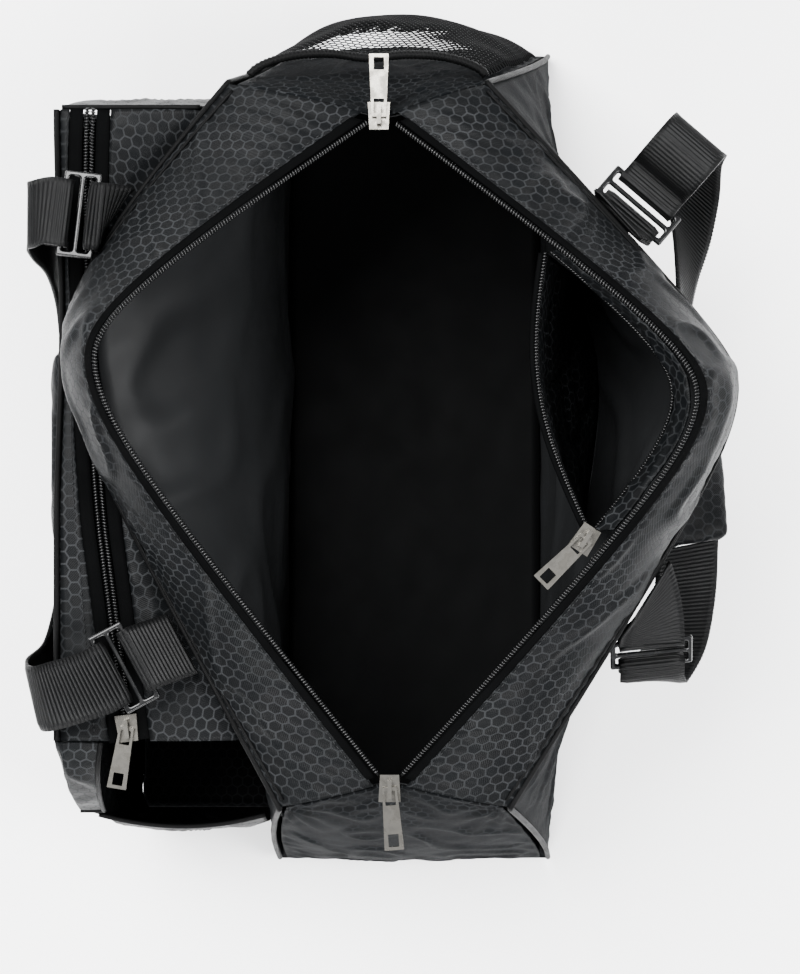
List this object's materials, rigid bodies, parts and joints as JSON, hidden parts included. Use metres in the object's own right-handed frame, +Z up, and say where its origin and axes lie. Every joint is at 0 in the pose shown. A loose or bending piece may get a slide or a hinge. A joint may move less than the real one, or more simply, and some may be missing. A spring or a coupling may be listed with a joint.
{
  "type": "racket backpack",
  "caption": "Soft zipped backpack lying open, with a long racket compartment, a mesh end pocket, an inner zipped pocket and two webbing shoulder straps.",
  "frame": {"origin": "middle of the flat base, on the surface the bag stands on", "axes": "+Y along the bag towards the mesh pocket end, +Z up out of the mouth, -X towards the racket compartment"},
  "size_m": [0.3529, 0.4683, 0.2512],
  "materials": {
    "hex_fabric": "satin",
    "lining_fabric": "satin",
    "piping_black": "matte",
    "zip_tape": "matte",
    "zip_coil": "gloss",
    "nickel": "polished",
    "mesh_net": "matte",
    "webbing": "satin",
    "wire": "gloss",
    "board": "matte"
  },
  "bodies": {
    "bag": {"base_board": "board", "base_panel": "hex_fabric", "end_wall_far": "hex_fabric", "end_wall_near": "hex_fabric", "inner_coil_inner": "zip_coil", "inner_coil_outer": "zip_coil", "inner_facing": "hex_fabric", "inner_pocket_panel": "hex_fabric", "inner_slider": "nickel", "lining_far": "lining_fabric", "lining_floor": "lining_fabric", "lining_left": "lining_fabric", "lining_near": "lining_fabric", "lining_right": "lining_fabric", "main_coil_left": "zip_coil", "main_coil_right": "zip_coil", "main_far_slider": "nickel", "main_near_slider": "nickel", "main_tape_left": "zip_tape", "main_tape_right": "zip_tape", "mesh_binding": "piping_black", "mesh_panel": "mesh_net", "piping_left": "piping_black", "piping_right": "piping_black", "racket_base": "hex_fabric", "racket_coil_inner": "zip_coil", "racket_coil_outer": "zip_coil", "racket_end_far": "hex_fabric", "racket_end_near": "hex_fabric", "racket_flap_outer": "hex_fabric", "racket_outer_wall": "hex_fabric", "racket_piping": "piping_black", "racket_tape_inner": "zip_tape", "racket_tape_outer": "zip_tape", "racket_top_gusset": "hex_fabric", "racket_top_strip": "hex_fabric", "side_wall_left": "hex_fabric", "side_wall_right": "hex_fabric", "top_panel_left": "hex_fabric", "top_panel_right": "hex_fabric"},
    "strap_left": {"strap_tab_left_far": "webbing", "strap_slide_left_far": "wire", "strap_webbing_left_far": "webbing", "strap_tab_left_near": "webbing", "strap_slide_left_near": "wire", "strap_webbing_left_near": "webbing", "strap_pad_left": "hex_fabric"},
    "strap_right": {"strap_tab_right_far": "webbing", "strap_slide_right_far": "wire", "strap_webbing_right_far": "webbing", "strap_tab_right_near": "webbing", "strap_slide_right_near": "wire", "strap_webbing_right_near": "webbing", "strap_pad_right": "hex_fabric"},
    "racket_slider": {"racket_slider": "nickel"},
    "racket_puller": {"racket_puller": "nickel"},
    "main_far_puller": {"main_far_puller": "nickel"},
    "main_near_puller": {"main_near_puller": "nickel"},
    "inner_puller": {"inner_puller": "nickel"}
  },
  "joints": [
    {"name": "strap_left_lift", "type": "hinge", "parent": "bag", "child": "strap_left", "pos_m": [-0.11833, 0.01242, 0.193], "axis": [-0.1582, 0.9874, 0], "range_deg": [0, 35]},
    {"name": "strap_right_lift", "type": "hinge", "parent": "bag", "child": "strap_right", "pos_m": [0.09574, 0.02298, 0.193], "axis": [0.0933, -0.9956, 0], "range_deg": [0, 50]},
    {"name": "racket_slider_run", "type": "slide", "parent": "bag", "child": "racket_slider", "axis": [-0.1289, 0.9917, 0], "range_m": [0, 0.085]},
    {"name": "racket_puller_swing", "type": "hinge", "parent": "racket_slider", "child": "racket_puller", "pos_m": [-0.13984, -0.13355, 0.1923], "axis": [-0.9859, 0.1676, 0], "range_deg": [0, 120]},
    {"name": "main_far_puller_swing", "type": "hinge", "parent": "bag", "child": "main_far_puller", "pos_m": [-0.0181, 0.1605, 0.2031], "axis": [1, 0, 0], "range_deg": [0, 150]},
    {"name": "main_near_puller_swing", "type": "hinge", "parent": "bag", "child": "main_near_puller", "pos_m": [-0.013, -0.161, 0.2039], "axis": [-0.9968, -0.0797, 0], "range_deg": [0, 150]},
    {"name": "inner_puller_swing", "type": "hinge", "parent": "bag", "child": "inner_puller", "pos_m": [0.07849, -0.04125, 0.22797], "axis": [-0.6971, 0.717, 0], "range_deg": [0, 120]}
  ]
}
